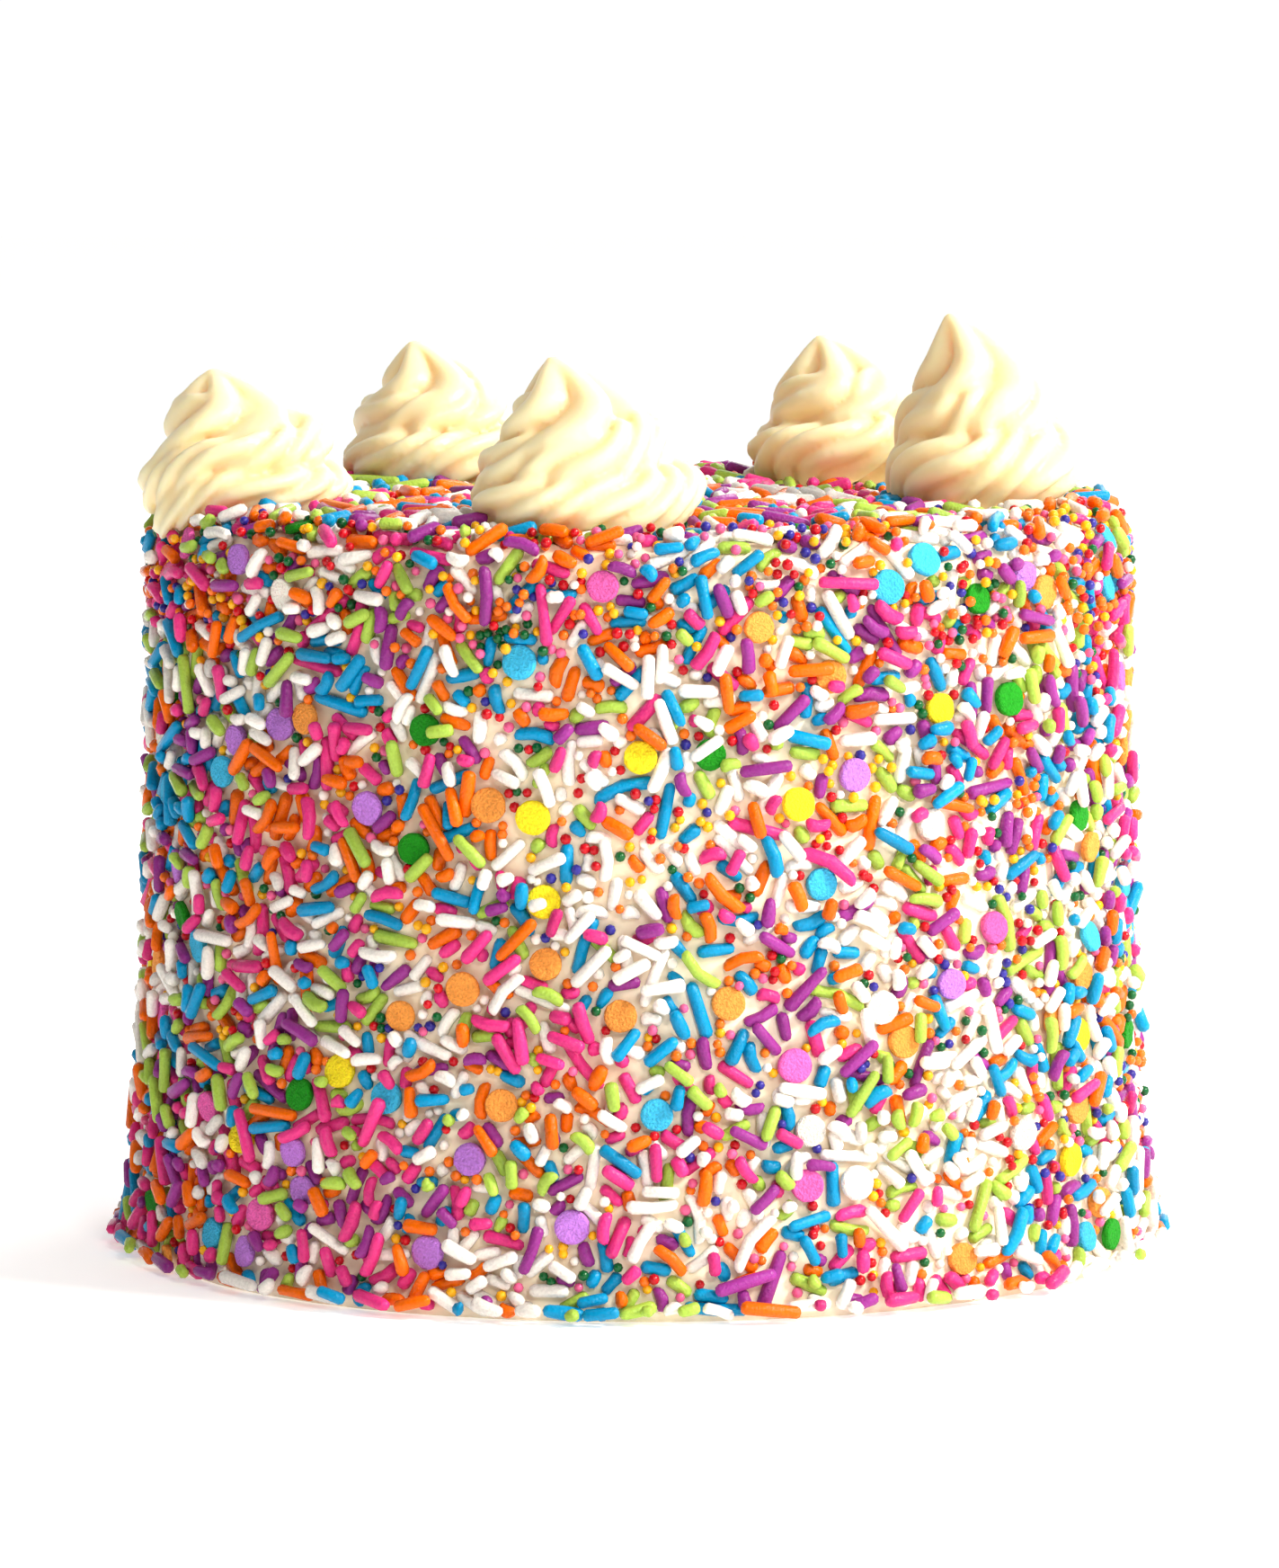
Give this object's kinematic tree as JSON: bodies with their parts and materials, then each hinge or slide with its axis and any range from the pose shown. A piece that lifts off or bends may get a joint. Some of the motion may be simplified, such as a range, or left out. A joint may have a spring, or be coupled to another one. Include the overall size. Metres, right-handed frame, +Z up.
{
  "type": "ice cream cake",
  "caption": "Tall round frosted ice cream cake coated with mixed sugar sprinkles, with piped buttercream swirls round the top.",
  "frame": {"origin": "middle of the flat underside of the cake", "axes": "+Z up, -Y towards the front that the picture shows, +X to the right"},
  "size_m": [0.1625, 0.1611, 0.1451],
  "materials": {
    "frosting": "satin",
    "buttercream": "satin"
  },
  "bodies": {
    "root": {"cake_body": "frosting", "swirl_left": "buttercream", "swirl_back_left": "buttercream", "swirl_front": "buttercream", "swirl_back_right": "buttercream", "swirl_right": "buttercream"}
  },
  "joints": []
}
